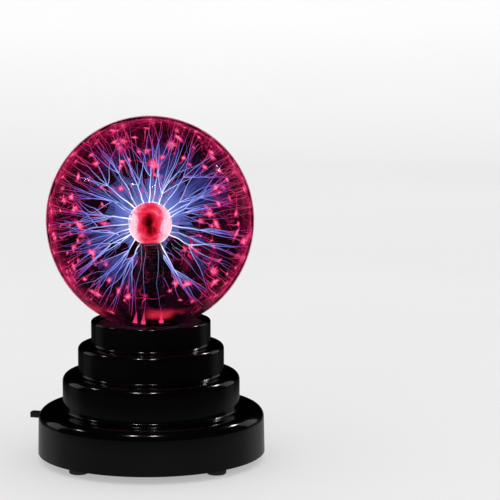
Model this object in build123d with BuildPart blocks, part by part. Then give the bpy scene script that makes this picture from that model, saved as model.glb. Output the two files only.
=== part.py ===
from build123d import *
import os
from math import atan2, cos, degrees, radians, sin, sqrt

# Plasma ball: an 80 mm glass globe held in the collar of a round stepped base.
# Millimetres, +Z up.  The origin is on the axis, on the plane the feet stand on.

# Feet
foot_height = 3.0          # shell bottom above the table
foot_radius = 3.75
foot_recess = 0.8          # how far a foot is let into the plate
foot_inset = 0.75          # foot to the rim of the plate
foot_edge = 0.6

# Stepped shell
shell_wall = 2.2
base_radius = 44.0
base_draft = 0.35          # the lowest wall leans in by this much
base_edge = 3.8
middle_radius = 34.3
middle_rise = 13.8         # each rise is from the step below
middle_edge = 3.0
upper_radius = 28.25
upper_rise = 11.2
upper_edge = 2.0
collar_radius = 23.1
collar_wall = 2.3
collar_rise = 9.5
collar_edge = 0.9
step_root = 1.1            # hollow rounding at the foot of each upper wall

# Glass
globe_radius = 40.0
lower_swell = 3.0          # the lower half is drawn from a centre this far past the axis
glass_wall = 1.2
neck_radius = 12.5
neck_blend = 4.0
neck_reach = 3.0           # the neck hangs this far below the floor of the collar
neck_gap = 0.8             # neck to the hole in the shell
stem_radius = 5.0
stem_wall = 0.6
flare_height = 16.0        # foot of the neck to where the flare starts to close in
shoulder_height = 10.0
stem_bend = 5.0
flare_gap = 0.9            # flare to the bore of the neck
seal_height = 1.2
exhaust_radius = 1.6
exhaust_length = 4.0

# Electrode
ball_radius = 8.5
ball_wall = 0.8
ball_drop = 1.4            # electrode below the middle of the globe
core_radius = 6.4
coil_wire = 0.55
coil_gap = 0.25            # coil to the bore of the stem
coil_pitch = 1.07
coil_lift = 2.0            # first turn above the foot of the neck

# Seat ring
seat_gap = 0.2             # ring to the collar wall
seat_lip = 2.6             # ring's inner edge beyond the neck
seat_drop = 0.405          # ring's highest edge below the collar's rim
seat_slope = 1.2           # the ring's top falls away from the glass by this much

# Base plate, battery box and door
plate_thickness = 2.4
plate_gap = 0.2
cell_count = 4
cell_radius = 5.25
cell_length = 43.5
cell_gap = 0.5
cell_edge = 0.5
cell_headroom = 0.4
nub_radius = 1.9
nub_length = 1.0
cell_side_gap = 0.45
spring_length = 4.7
contact_thickness = 0.4
contact_width = 9.0
contact_wire = 0.6
contact_coil_radius = 3.0
contact_turns = 3.0
box_shift = -2.5           # the box sits this far off the axis, away from switch and inlet
box_wall = 1.5
box_roof = 1.2
box_headroom = 0.6         # box to the underside of the lowest step
rest_margin = 0.5          # rests stop this far inside the part they carry
door_thickness = 2.0
door_gap = 0.3
pintle_radius = 0.6
pintle_length = 1.5
pintle_fit = 0.05
latch_width = 12.0
latch_tab = 4.0            # the tab reaches this far past the box's opening
latch_height = 3.6
latch_thickness = 1.2
latch_setback = 0.6
nail_notch_radius = 4.0
nail_notch_depth = 1.0

# Plate screws
screw_y = 16.0
screw_radius = 1.3
screw_head_radius = 2.4
screw_head_height = 1.3
screw_length = 9.0
cross_length = 3.0
cross_width = 0.7
cross_depth = 0.8
boss_radius = 3.2
boss_gap = 4.1             # boss to the side of the battery box

# Slide switch
switch_angle = 120.0
switch_height = 14.3
switch_width = 12.0
switch_depth = 5.4
switch_tall = 6.5
switch_setback = 0.85      # switch face to the shell's inner wall, on its centre line
lever_width = 3.0
lever_thickness = 2.4
lever_travel = 3.0
lever_reach = 6.0          # beyond the shell
lever_root = 1.6           # inside the switch
lever_gap = 0.3
lever_corner = 0.3
lever_edge = 0.25

# Power inlet
inlet_angle = 60.0
inlet_height = 12.5
inlet_width = 7.0
inlet_tall = 6.5
inlet_depth = 7.2
inlet_setback = 0.3        # inlet face to the shell's inner wall
snout_radius = 3.0
snout_gap = 0.2
snout_setback = 0.4        # below the outside of the shell
socket_radius = 1.8
socket_depth = 9.0
pin_radius = 0.65
pin_setback = 1.0

# Circuit board
board_length = 48.0
board_width = 36.0
board_thickness = 1.6
board_corner = 2.0
standoff_height = 3.0
standoff_radius = 2.6
standoff_x = 20.0
standoff_y = 14.0
board_screw_radius = 1.0
board_screw_head = 2.1
board_screw_head_height = 1.4
board_screw_length = 4.4
board_screw_gap = 0.2

# Step-up transformer
transformer_x = -13.0
core_width = 20.0
core_height = 15.0
core_limb = 4.0
limb_gap = 0.1
bobbin_wall = 0.8
bobbin_radius = 7.6
bobbin_flange = 1.0
bobbin_leg = 2.0
winding_radius = 6.9
winding_gap = 0.3          # winding to the core's outer limbs
winding_corner = 3.0

# Other board parts
sink_x = 17.0
sink_width = 20.0
sink_height = 15.0
sink_wall = 1.5
fin_length = 4.0
fin_count = 5
transistor_width = 10.0
transistor_height = 10.0
transistor_depth = 4.4
transistor_drop = 2.0      # below the top of the heat sink
transistor_lead_pitch = 2.54
transistor_lead_width = 0.8
transistor_lead_thickness = 0.6
transistor_lead_setback = 1.2
capacitor_x = 5.0
capacitor_y = 11.0
capacitor_radius = 4.0
capacitor_height = 11.0
film_x = 6.0
film_y = -11.0
film_length = 10.0
film_width = 5.0
film_height = 8.0
film_corner = 0.8
capacitor_edge = 0.6
resistor_x = 4.0
resistor_radius = 1.2
resistor_length = 6.0
resistor_count = 4
resistor_pitch = 3.6
lead_radius = 0.3
lead_reach = 1.5           # a resistor's lead beyond its body, before it turns down

# Wires
wire_radius = 0.6
high_voltage_radius = 0.9
wire_bend = 2.0
wire_hole_gap = 0.3
wire_rise = 4.0            # wires stand this far above the board
wire_clearance = 2.0       # the panel parts' wires climb this far inside the middle wall
wire_spacing = 1.5         # each wire of a pair to the middle of its panel part
battery_pad_inset = 2.6    # wires to the edge of the board they end at
panel_pad_inset = 3.0
switch_wire_lift = 1.0     # wires above the middle of the panel part
switch_pads = (-11.0, -14.0)
inlet_wire_lift = 2.0
inlet_pads = (14.5, 11.5)
high_voltage_turn = -1.0   # where the high-voltage lead leaves the transformer and climbs
high_voltage_climb = 5.0

# Heights and radii worked out from the values above
cell_pitch = 2 * cell_radius + cell_gap
box_half_width = (cell_count - 1) / 2 * cell_pitch + cell_radius + cell_side_gap
box_length = cell_length + nub_length + spring_length + 2 * contact_thickness
box_front = box_shift - box_length / 2
box_back = box_shift + box_length / 2
cell_height = foot_height + door_thickness + door_gap + cell_radius
box_ceiling = cell_height + cell_radius + cell_headroom
box_top = box_ceiling + box_roof
hinge_y = box_back - door_gap - door_thickness / 2
hinge_z = foot_height + door_thickness / 2
screw_x = box_half_width + box_wall + boss_gap + boss_radius

plate_top = foot_height + plate_thickness
board_bottom = box_top + standoff_height
board_top = board_bottom + board_thickness

base_ceiling = box_top + box_headroom
base_top = base_ceiling + shell_wall
middle_top = base_top + middle_rise
upper_top = middle_top + upper_rise
collar_top = upper_top + collar_rise
seat_floor = upper_top - shell_wall
base_inner = base_radius - base_draft - shell_wall
middle_inner = middle_radius - shell_wall
upper_inner = upper_radius - shell_wall
collar_inner = collar_radius - collar_wall
foot_circle = base_inner - plate_gap - foot_inset - foot_radius

low_radius = globe_radius + lower_swell
ring_inner = neck_radius + seat_lip
ring_top = collar_top - seat_drop
globe_centre = ring_top + sqrt(low_radius**2 - (ring_inner + lower_swell) ** 2)
neck_bottom = seat_floor - neck_reach
flare_radius = neck_radius - glass_wall - flare_gap
shoulder_low = neck_bottom + flare_height
shoulder_top = shoulder_low + shoulder_height
ball_height = globe_centre - ball_drop
ball_seat = ball_height - sqrt(ball_radius**2 - stem_radius**2)
coil_radius = stem_radius - stem_wall - coil_gap - coil_wire / 2
coil_start = neck_bottom + coil_lift

wire_top = board_top + wire_rise
wire_circle = middle_inner - wire_clearance

os.makedirs("parts", exist_ok=True)


def outward_plane(angle, radius, height):
    """Plane facing outward at an angle round the base; its y is up."""
    out = (cos(radians(angle)), sin(radians(angle)), 0)
    along = (-sin(radians(angle)), cos(radians(angle)), 0)
    return Plane(origin=(radius * out[0], radius * out[1], height), x_dir=along, z_dir=out)


def around(angle, radius, height):
    """Point at an angle and radius from the axis."""
    return (radius * cos(radians(angle)), radius * sin(radians(angle)), height)


def run_wire(points, radius):
    """Round wire of straight runs joined by arcs, added to the part being built."""
    with BuildLine() as route:
        FilletPolyline(*points, radius=wire_bend)
    with BuildSketch(Plane(origin=route.line @ 0, z_dir=route.line % 0)) as section:
        Circle(radius)
    sweep(sections=section.sketch, path=route.line)


# Glass globe: a bulb whose lower half swells a little, drawn in to an open neck
def bulb_section(inset, mode):
    """Half section of the bulb, inset from the outer surface of the glass."""
    top_arc = globe_radius - inset
    low_arc = low_radius - inset
    blend = neck_blend + inset
    neck = neck_radius - inset
    across = neck + blend + lower_swell
    drop = sqrt((low_arc + blend) ** 2 - across**2)
    turn = degrees(atan2(drop, across))
    with BuildLine() as outline:
        CenterArc((0, globe_centre), top_arc, 0, 90)
        CenterArc((-lower_swell, globe_centre), low_arc, -turn, turn)
        CenterArc((neck + blend, globe_centre - drop), blend, 180 - turn, turn)
        Polyline(
            (neck, globe_centre - drop),
            (neck, neck_bottom),
            (0, neck_bottom),
            (0, globe_centre + top_arc),
        )
    make_face(outline.edges(), mode=mode)


with BuildPart() as glass_globe:
    with BuildSketch(Plane.XZ):
        bulb_section(0, Mode.ADD)
        bulb_section(glass_wall, Mode.SUBTRACT)
    revolve(axis=Axis.Z)
glass_globe.part.label = "glass_globe"
export_step(glass_globe.part, "parts/glass_globe.step")

# Stem: a thin tube that opens into a flare and is sealed to the foot of the neck
with BuildPart() as stem_tube:
    with BuildSketch(Plane.XZ):
        with BuildLine():
            stem_outline = FilletPolyline(
                (stem_radius, ball_seat),
                (stem_radius, shoulder_top),
                (flare_radius, shoulder_low),
                (flare_radius, neck_bottom),
                radius=stem_bend,
            )
            offset(stem_outline, amount=stem_wall, side=Side.RIGHT, closed=True)
        make_face()
        with BuildLine():
            Polyline(
                (flare_radius - stem_wall, neck_bottom),
                (neck_radius - glass_wall, neck_bottom),
                (neck_radius - glass_wall, neck_bottom + seal_height),
                (flare_radius - stem_wall, neck_bottom + seal_height),
                close=True,
            )
        make_face()
    revolve(axis=Axis.Z)
stem_tube.part.label = "stem_tube"
export_step(stem_tube.part, "parts/stem_tube.step")

# Sealed tip left under the flare where the globe was pumped out and filled
tip_radius_out = (flare_radius - stem_wall + neck_radius - glass_wall) / 2
with BuildPart() as exhaust_tip:
    with BuildSketch(Plane.XZ):
        with BuildLine():
            Polyline(
                (tip_radius_out, neck_bottom),
                (tip_radius_out + exhaust_radius, neck_bottom),
                (tip_radius_out + exhaust_radius, neck_bottom - exhaust_length / 2),
                (tip_radius_out, neck_bottom - exhaust_length),
                close=True,
            )
        make_face()
    revolve(axis=Axis((tip_radius_out, 0, 0), (0, 0, 1)))
exhaust_tip.part.label = "exhaust_tip"
export_step(exhaust_tip.part, "parts/exhaust_tip.step")

# Electrode: a hollow coated ball on the stem with a packed core inside
with BuildPart() as electrode_ball:
    with Locations((0, 0, ball_height)):
        Sphere(ball_radius)
        Sphere(ball_radius - ball_wall, mode=Mode.SUBTRACT)
    with BuildSketch(Plane.XY.offset(ball_height - ball_radius)):
        Circle(stem_radius)
    extrude(amount=ball_radius / 2, mode=Mode.SUBTRACT)
electrode_ball.part.label = "electrode_ball"
export_step(electrode_ball.part, "parts/electrode_ball.step")

with BuildPart() as electrode_core:
    with Locations((0, 0, ball_height)):
        Sphere(core_radius)
electrode_core.part.label = "electrode_core"
export_step(electrode_core.part, "parts/electrode_core.step")

# Coiled lead that carries the high voltage up the stem to the core
coil_height = ball_height - core_radius - coil_start - coil_wire / 2
with BuildPart() as lead_spring:
    with BuildLine() as coil_path:
        Helix(coil_pitch, coil_height, coil_radius, center=(0, 0, coil_start))
    with BuildSketch(Plane(origin=coil_path.line @ 0, z_dir=coil_path.line % 0)):
        Circle(coil_wire / 2)
    sweep(path=coil_path.line, is_frenet=True)
lead_spring.part.label = "lead_spring"
export_step(lead_spring.part, "parts/lead_spring.step")

# Stepped shell with the collar that holds the globe
with BuildPart() as base_shell:
    with BuildSketch(Plane.XZ) as shell_section:
        with BuildLine():
            Polyline(
                (0, foot_height),
                (base_radius, foot_height),
                (base_radius - base_draft, base_top),
                (middle_radius, base_top),
                (middle_radius, middle_top),
                (upper_radius, middle_top),
                (upper_radius, upper_top),
                (collar_radius, upper_top),
                (collar_radius, collar_top),
                (0, collar_top),
                close=True,
            )
        make_face()
        edge_roundings = (
            (base_radius - base_draft, base_top, base_edge),
            (middle_radius, middle_top, middle_edge),
            (upper_radius, upper_top, upper_edge),
            (collar_radius, collar_top, collar_edge),
            (middle_radius, base_top, step_root),
            (upper_radius, middle_top, step_root),
            (collar_radius, upper_top, step_root),
        )
        for across, up, rounding in edge_roundings:
            corner = shell_section.vertices().sort_by_distance((across, up, 0))[0]
            fillet(corner, rounding)
        with BuildLine():
            Polyline(
                (0, foot_height),
                (base_inner, foot_height),
                (base_inner, base_ceiling),
                (middle_inner, base_ceiling),
                (middle_inner, middle_top - shell_wall),
                (upper_inner, middle_top - shell_wall),
                (upper_inner, seat_floor),
                (neck_radius + neck_gap, seat_floor),
                (neck_radius + neck_gap, upper_top),
                (collar_inner, upper_top),
                (collar_inner, collar_top),
                (0, collar_top),
                close=True,
            )
        make_face(mode=Mode.SUBTRACT)
        rim = shell_section.vertices().sort_by_distance((collar_inner, collar_top, 0))[0]
        fillet(rim, collar_edge / 2)
    revolve(axis=Axis.Z)
    with BuildSketch(Plane.XY.offset(plate_top)):
        with GridLocations(2 * screw_x, 2 * screw_y, 2, 2):
            Circle(boss_radius)
    extrude(until=Until.NEXT)
    with BuildSketch(Plane.XY.offset(plate_top)):
        with GridLocations(2 * screw_x, 2 * screw_y, 2, 2):
            Circle(screw_radius)
    extrude(amount=screw_length, mode=Mode.SUBTRACT)
    with BuildSketch(outward_plane(switch_angle, 0, switch_height)):
        with Locations((-lever_travel / 2, 0)):
            slot_width = lever_width + lever_travel + 2 * lever_gap
            Rectangle(slot_width, lever_thickness + 2 * lever_gap)
    extrude(amount=base_radius + lever_reach, mode=Mode.SUBTRACT)
    with BuildSketch(outward_plane(inlet_angle, 0, inlet_height)):
        Circle(snout_radius + snout_gap)
    extrude(amount=base_radius + lever_reach, mode=Mode.SUBTRACT)
base_shell.part.label = "base_shell"
export_step(base_shell.part, "parts/base_shell.step")

# Silicone ring that the globe sits on inside the collar
with BuildPart() as seat_ring:
    ring_outer = collar_inner - seat_gap
    with BuildSketch(Plane.XZ):
        with BuildLine():
            Polyline(
                (ring_inner, upper_top),
                (ring_outer, upper_top),
                (ring_outer, ring_top - seat_slope),
                (ring_inner, ring_top),
                close=True,
            )
        make_face()
    revolve(axis=Axis.Z)
seat_ring.part.label = "seat_ring"
export_step(seat_ring.part, "parts/seat_ring.step")

# Base plate with the battery box, standoffs and the rests for switch and inlet
with BuildPart() as base_plate:
    with BuildSketch(Plane.XY.offset(foot_height)):
        Circle(base_inner - plate_gap)
    extrude(amount=plate_thickness)
    with BuildSketch(Plane.XY.offset(foot_height)):
        with Locations((0, box_shift)):
            Rectangle(2 * (box_half_width + box_wall), box_length + 2 * box_wall)
    extrude(amount=box_top - foot_height)
    with BuildSketch(Plane.XY.offset(foot_height)):
        with Locations((0, box_shift)):
            Rectangle(2 * box_half_width, box_length)
    extrude(amount=box_ceiling - foot_height, mode=Mode.SUBTRACT)
    with BuildSketch(Plane.XY.offset(box_top)):
        with GridLocations(2 * standoff_x, 2 * standoff_y, 2, 2):
            Circle(standoff_radius)
    extrude(amount=standoff_height)
    with BuildSketch(Plane.XY.offset(board_bottom)):
        with GridLocations(2 * standoff_x, 2 * standoff_y, 2, 2):
            Circle(board_screw_radius)
    extrude(amount=-(board_screw_length - board_thickness), mode=Mode.SUBTRACT)
    with BuildSketch(Plane.XY.offset(foot_height)):
        with GridLocations(2 * screw_x, 2 * screw_y, 2, 2):
            Circle(screw_radius + plate_gap)
    extrude(amount=plate_thickness, mode=Mode.SUBTRACT)
    with BuildSketch(Plane.XY.offset(foot_height)):
        with GridLocations(2 * screw_x, 2 * screw_y, 2, 2):
            Circle(screw_head_radius + plate_gap)
    extrude(amount=screw_head_height, mode=Mode.SUBTRACT)
    with BuildSketch(Plane.XY.offset(foot_height)):
        with PolarLocations(foot_circle, 4):
            Circle(foot_radius)
    extrude(amount=foot_recess, mode=Mode.SUBTRACT)
    # pintle sockets for the door, either side of the opening
    with BuildSketch(Plane.YZ.offset(-box_half_width - pintle_length)):
        with Locations((hinge_y, hinge_z)):
            Circle(pintle_radius + pintle_fit)
    extrude(amount=2 * (box_half_width + pintle_length), mode=Mode.SUBTRACT)
    # notch that takes the door's latch tab
    with BuildSketch(Plane.XY.offset(foot_height)):
        with Locations((0, box_front - latch_tab / 2)):
            Rectangle(latch_width + 2 * door_gap, latch_tab)
    extrude(amount=plate_thickness, mode=Mode.SUBTRACT)
    # two holes in the roof for the battery wires
    with BuildSketch(Plane.XY.offset(box_ceiling)):
        with Locations((0, box_front + contact_thickness + wire_radius)):
            with GridLocations(cell_pitch, 0, 2, 1):
                Circle(wire_radius + wire_hole_gap)
    extrude(amount=box_roof, mode=Mode.SUBTRACT)
    # rests
    switch_face = base_inner - switch_setback
    with BuildSketch(Plane.XY.offset(plate_top)):
        with Locations(around(switch_angle, switch_face - switch_depth / 2, 0)):
            rest_depth = switch_depth - 2 * rest_margin
            rest_width = switch_width - 2 * rest_margin
            Rectangle(rest_depth, rest_width, rotation=switch_angle)
    extrude(amount=switch_height - switch_tall / 2 - plate_top)
    inlet_face = base_inner - inlet_setback
    with BuildSketch(Plane.XY.offset(plate_top)):
        with Locations(around(inlet_angle, inlet_face - inlet_depth / 2, 0)):
            rest_depth = inlet_depth - 2 * rest_margin
            rest_width = inlet_width - 2 * rest_margin
            Rectangle(rest_depth, rest_width, rotation=inlet_angle)
    extrude(amount=inlet_height - inlet_tall / 2 - plate_top)
base_plate.part.label = "base_plate"
export_step(base_plate.part, "parts/base_plate.step")

# Battery door: a flat slab on two pintles, with a latch tongue at the far end
door_front = box_front + door_gap
with BuildPart() as battery_door:
    with BuildSketch(Plane.YZ.offset(-box_half_width + door_gap)):
        with BuildLine():
            Line((hinge_y, foot_height), (door_front, foot_height))
            Line((door_front, foot_height), (door_front, foot_height + door_thickness))
            Line((door_front, foot_height + door_thickness), (hinge_y, foot_height + door_thickness))
            CenterArc((hinge_y, hinge_z), door_thickness / 2, 90, -180)
        make_face()
    extrude(amount=2 * (box_half_width - door_gap))
    with BuildSketch(Plane.YZ.offset(-box_half_width - pintle_length + door_gap)):
        with Locations((hinge_y, hinge_z)):
            Circle(pintle_radius)
    extrude(amount=2 * (box_half_width + pintle_length - door_gap))
    with BuildSketch(Plane.XY.offset(foot_height)):
        with Locations((0, door_front - latch_tab / 2)):
            Rectangle(latch_width, latch_tab)
    extrude(amount=door_thickness)
    tab_front = door_front - latch_tab
    with BuildSketch(Plane.XY.offset(foot_height + door_thickness)):
        with Locations((0, tab_front + latch_setback + latch_thickness / 2)):
            Rectangle(latch_width, latch_thickness)
    extrude(amount=latch_height)
    # scallop for a fingernail
    with BuildSketch(Plane.XY.offset(foot_height)):
        with Locations((0, tab_front)):
            Circle(nail_notch_radius)
    extrude(amount=nail_notch_depth, mode=Mode.SUBTRACT)
battery_door.part.label = "battery_door"
export_step(battery_door.part, "parts/battery_door.step")

# Feet
for number in range(4):
    with BuildPart() as foot:
        with BuildSketch(Plane.XY):
            with Locations(around(90 * number, foot_circle, 0)):
                Circle(foot_radius)
        extrude(amount=foot_height + foot_recess)
        fillet(foot.edges().group_by(Axis.Z)[0], foot_edge)
    foot.part.label = f"foot_{number + 1}"
    export_step(foot.part, f"parts/foot_{number + 1}.step")

# Plate screws: pan heads let into the plate, shanks in the shell's bosses
with BuildPart() as plate_screws:
    with BuildSketch(Plane.XY.offset(foot_height)):
        with GridLocations(2 * screw_x, 2 * screw_y, 2, 2):
            Circle(screw_head_radius)
    extrude(amount=screw_head_height)
    with BuildSketch(Plane.XY.offset(foot_height)):
        with GridLocations(2 * screw_x, 2 * screw_y, 2, 2):
            Circle(screw_radius)
    extrude(amount=screw_length)
    with BuildSketch(Plane.XY.offset(foot_height)):
        with GridLocations(2 * screw_x, 2 * screw_y, 2, 2):
            Rectangle(cross_length, cross_width)
            Rectangle(cross_width, cross_length)
    extrude(amount=cross_depth, mode=Mode.SUBTRACT)
plate_screws.part.label = "plate_screws"
export_step(plate_screws.part, "parts/plate_screws.step")

# Cells, laid side by side and turned end for end
for number in range(cell_count):
    cell_x = (number - (cell_count - 1) / 2) * cell_pitch
    facing = 1 if number % 2 == 0 else -1
    flat_end = box_shift - facing * (box_length / 2 - contact_thickness - spring_length)
    with BuildPart() as cell:
        with BuildSketch(Plane((cell_x, flat_end, cell_height), z_dir=(0, facing, 0))):
            Circle(cell_radius)
        extrude(amount=cell_length)
        fillet(cell.edges().filter_by(GeomType.CIRCLE), cell_edge)
        with BuildSketch(Plane((cell_x, flat_end, cell_height), z_dir=(0, facing, 0))):
            Circle(nub_radius)
        extrude(amount=cell_length + nub_length)
    cell.part.label = f"cell_{number + 1}"
    export_step(cell.part, f"parts/cell_{number + 1}.step")

# Contact strips at both ends of the box, and a spring against each cell's flat end
with BuildPart() as contact_strips:
    for end in (-1, 1):
        strip_y = box_shift + end * (box_length - contact_thickness) / 2
        strip_middle = (foot_height + door_thickness + door_gap + box_ceiling) / 2
        with BuildSketch(Plane((0, strip_y, strip_middle), x_dir=(1, 0, 0), z_dir=(0, 1, 0))):
            with GridLocations(cell_pitch, 0, cell_count, 1):
                Rectangle(contact_width, box_ceiling - foot_height - door_thickness - door_gap)
        extrude(amount=contact_thickness / 2, both=True)
contact_strips.part.label = "contact_strips"
export_step(contact_strips.part, "parts/contact_strips.step")

with BuildPart() as contact_springs:
    for number in range(cell_count):
        cell_x = (number - (cell_count - 1) / 2) * cell_pitch
        facing = 1 if number % 2 == 0 else -1
        spring_start = box_shift - facing * (
            box_length / 2 - contact_thickness - contact_wire / 2
        )
        turn_height = spring_length - contact_wire
        with BuildLine() as spring_path:
            Helix(
                turn_height / contact_turns,
                turn_height,
                contact_coil_radius,
                center=(cell_x, spring_start, cell_height),
                direction=(0, facing, 0),
            )
        with BuildSketch(Plane(origin=spring_path.line @ 0, z_dir=spring_path.line % 0)):
            Circle(contact_wire / 2)
        sweep(path=spring_path.line, is_frenet=True)
contact_springs.part.label = "contact_springs"
export_step(contact_springs.part, "parts/contact_springs.step")

# Slide switch and its lever, at rest at one end of its travel
switch_out = outward_plane(switch_angle, switch_face, switch_height)
with BuildPart() as switch_body:
    with BuildSketch(switch_out):
        Rectangle(switch_width, switch_tall)
    extrude(amount=-switch_depth)
    with BuildSketch(switch_out):
        with Locations((-lever_travel / 2, 0)):
            Rectangle(slot_width, lever_thickness + 2 * lever_gap)
    extrude(amount=-(lever_root + lever_gap), mode=Mode.SUBTRACT)
switch_body.part.label = "switch_body"
export_step(switch_body.part, "parts/switch_body.step")

with BuildPart() as switch_lever:
    lever_start = switch_face - lever_root
    with BuildSketch(outward_plane(switch_angle, lever_start, switch_height)):
        RectangleRounded(lever_width, lever_thickness, lever_corner)
    extrude(amount=base_radius + lever_reach - lever_start)
    fillet(switch_lever.faces().sort_by(Axis.Y)[-1].edges(), lever_edge)
switch_lever.part.label = "switch_lever"
export_step(switch_lever.part, "parts/switch_lever.step")

# Power inlet with its centre pin
inlet_out = outward_plane(inlet_angle, inlet_face, inlet_height)
snout_length = base_radius - inlet_face - snout_setback
with BuildPart() as power_inlet:
    with BuildSketch(inlet_out):
        Rectangle(inlet_width, inlet_tall)
    extrude(amount=-inlet_depth)
    with BuildSketch(inlet_out):
        Circle(snout_radius)
    extrude(amount=snout_length)
    with BuildSketch(outward_plane(inlet_angle, inlet_face + snout_length, inlet_height)):
        Circle(socket_radius)
    extrude(amount=-socket_depth, mode=Mode.SUBTRACT)
power_inlet.part.label = "power_inlet"
export_step(power_inlet.part, "parts/power_inlet.step")

with BuildPart() as inlet_pin:
    pin_start = inlet_face + snout_length - socket_depth
    with BuildSketch(outward_plane(inlet_angle, pin_start, inlet_height)):
        Circle(pin_radius)
    extrude(amount=socket_depth - pin_setback)
inlet_pin.part.label = "inlet_pin"
export_step(inlet_pin.part, "parts/inlet_pin.step")

# Circuit board and its screws
with BuildPart() as circuit_board:
    with BuildSketch(Plane.XY.offset(board_bottom)):
        RectangleRounded(board_length, board_width, board_corner)
        with GridLocations(2 * standoff_x, 2 * standoff_y, 2, 2):
            Circle(board_screw_radius + board_screw_gap, mode=Mode.SUBTRACT)
    extrude(amount=board_thickness)
circuit_board.part.label = "circuit_board"
export_step(circuit_board.part, "parts/circuit_board.step")

with BuildPart() as board_screws:
    with BuildSketch(Plane.XY.offset(board_top)):
        with GridLocations(2 * standoff_x, 2 * standoff_y, 2, 2):
            Circle(board_screw_head)
    extrude(amount=board_screw_head_height)
    with BuildSketch(Plane.XY.offset(board_top)):
        with GridLocations(2 * standoff_x, 2 * standoff_y, 2, 2):
            Circle(board_screw_radius)
    extrude(amount=-board_screw_length)
board_screws.part.label = "board_screws"
export_step(board_screws.part, "parts/board_screws.step")

# Step-up transformer: ferrite core, bobbin and winding
core_middle = board_top + bobbin_flange + core_height / 2
window_height = core_height - 2 * core_limb
window_width = (core_width - 3 * core_limb) / 2
with BuildPart() as transformer_core:
    with BuildSketch(Plane.XZ):
        with Locations((transformer_x, core_middle)):
            Rectangle(core_width, core_height)
            with GridLocations(core_limb + window_width, 0, 2, 1):
                Rectangle(window_width, window_height, mode=Mode.SUBTRACT)
    extrude(amount=core_limb / 2, both=True)
transformer_core.part.label = "transformer_core"
export_step(transformer_core.part, "parts/transformer_core.step")

limb_hole = core_limb + 2 * limb_gap
bobbin_bottom = core_middle - window_height / 2
with BuildPart() as transformer_bobbin:
    with BuildSketch(Plane.XY.offset(bobbin_bottom)):
        with Locations((transformer_x, 0)):
            Rectangle(core_limb + window_width, 2 * bobbin_radius)
    extrude(amount=bobbin_flange)
    with BuildSketch(Plane.XY.offset(bobbin_bottom + window_height - bobbin_flange)):
        with Locations((transformer_x, 0)):
            Rectangle(core_limb + window_width, 2 * bobbin_radius)
    extrude(amount=bobbin_flange)
    with BuildSketch(Plane.XY.offset(bobbin_bottom)):
        with Locations((transformer_x, 0)):
            Rectangle(limb_hole + 2 * bobbin_wall, limb_hole + 2 * bobbin_wall)
    extrude(amount=window_height)
    with BuildSketch(Plane.XY.offset(bobbin_bottom)):
        with Locations((transformer_x, 0)):
            Rectangle(limb_hole, limb_hole)
    extrude(amount=window_height, mode=Mode.SUBTRACT)
    # four legs that stand on the board, clear of the core
    with BuildSketch(Plane.XY.offset(board_top)):
        with Locations((transformer_x, 0)):
            with GridLocations(core_limb, 2 * bobbin_radius - bobbin_leg, 2, 2):
                Rectangle(bobbin_leg, bobbin_leg)
    extrude(amount=bobbin_bottom - board_top)
transformer_bobbin.part.label = "transformer_bobbin"
export_step(transformer_bobbin.part, "parts/transformer_bobbin.step")

with BuildPart() as transformer_winding:
    with BuildSketch(Plane.XY.offset(bobbin_bottom + bobbin_flange)):
        with Locations((transformer_x, 0)):
            winding_width = core_limb + 2 * (window_width - winding_gap)
            RectangleRounded(winding_width, 2 * winding_radius, winding_corner)
            Rectangle(limb_hole + 2 * bobbin_wall, limb_hole + 2 * bobbin_wall, mode=Mode.SUBTRACT)
    extrude(amount=window_height - 2 * bobbin_flange)
transformer_winding.part.label = "transformer_winding"
export_step(transformer_winding.part, "parts/transformer_winding.step")

# Heat sink with the switching transistor on its inner face
with BuildPart() as heat_sink:
    with BuildSketch(Plane.XY.offset(board_top)):
        with Locations((sink_x, 0)):
            Rectangle(sink_wall, sink_width)
        with Locations((sink_x + (sink_wall + fin_length) / 2, 0)):
            with GridLocations(0, (sink_width - sink_wall) / (fin_count - 1), 1, fin_count):
                Rectangle(fin_length, sink_wall)
    extrude(amount=sink_height)
heat_sink.part.label = "heat_sink"
export_step(heat_sink.part, "parts/heat_sink.step")

transistor_bottom = board_top + sink_height - transistor_drop - transistor_height
with BuildPart() as power_transistor:
    with BuildSketch(Plane.XY.offset(transistor_bottom)):
        with Locations((sink_x - (sink_wall + transistor_depth) / 2, 0)):
            Rectangle(transistor_depth, transistor_width)
    extrude(amount=transistor_height)
    with BuildSketch(Plane.XY.offset(board_top)):
        transistor_back = sink_x - sink_wall / 2 - transistor_depth
        with Locations((transistor_back + transistor_lead_setback, 0)):
            with GridLocations(0, transistor_lead_pitch, 1, 3):
                Rectangle(transistor_lead_thickness, transistor_lead_width)
    extrude(amount=transistor_bottom - board_top)
power_transistor.part.label = "power_transistor"
export_step(power_transistor.part, "parts/power_transistor.step")

# Capacitors and resistors
with BuildPart() as main_capacitor:
    with BuildSketch(Plane.XY.offset(board_top)):
        with Locations((capacitor_x, capacitor_y)):
            Circle(capacitor_radius)
    extrude(amount=capacitor_height)
    fillet(main_capacitor.edges().group_by(Axis.Z)[-1], capacitor_edge)
main_capacitor.part.label = "main_capacitor"
export_step(main_capacitor.part, "parts/main_capacitor.step")

with BuildPart() as film_capacitor:
    with BuildSketch(Plane.XY.offset(board_top)):
        with Locations((film_x, film_y)):
            RectangleRounded(film_length, film_width, film_corner)
    extrude(amount=film_height)
    fillet(film_capacitor.edges().group_by(Axis.Z)[-1], capacitor_edge)
film_capacitor.part.label = "film_capacitor"
export_step(film_capacitor.part, "parts/film_capacitor.step")

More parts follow.
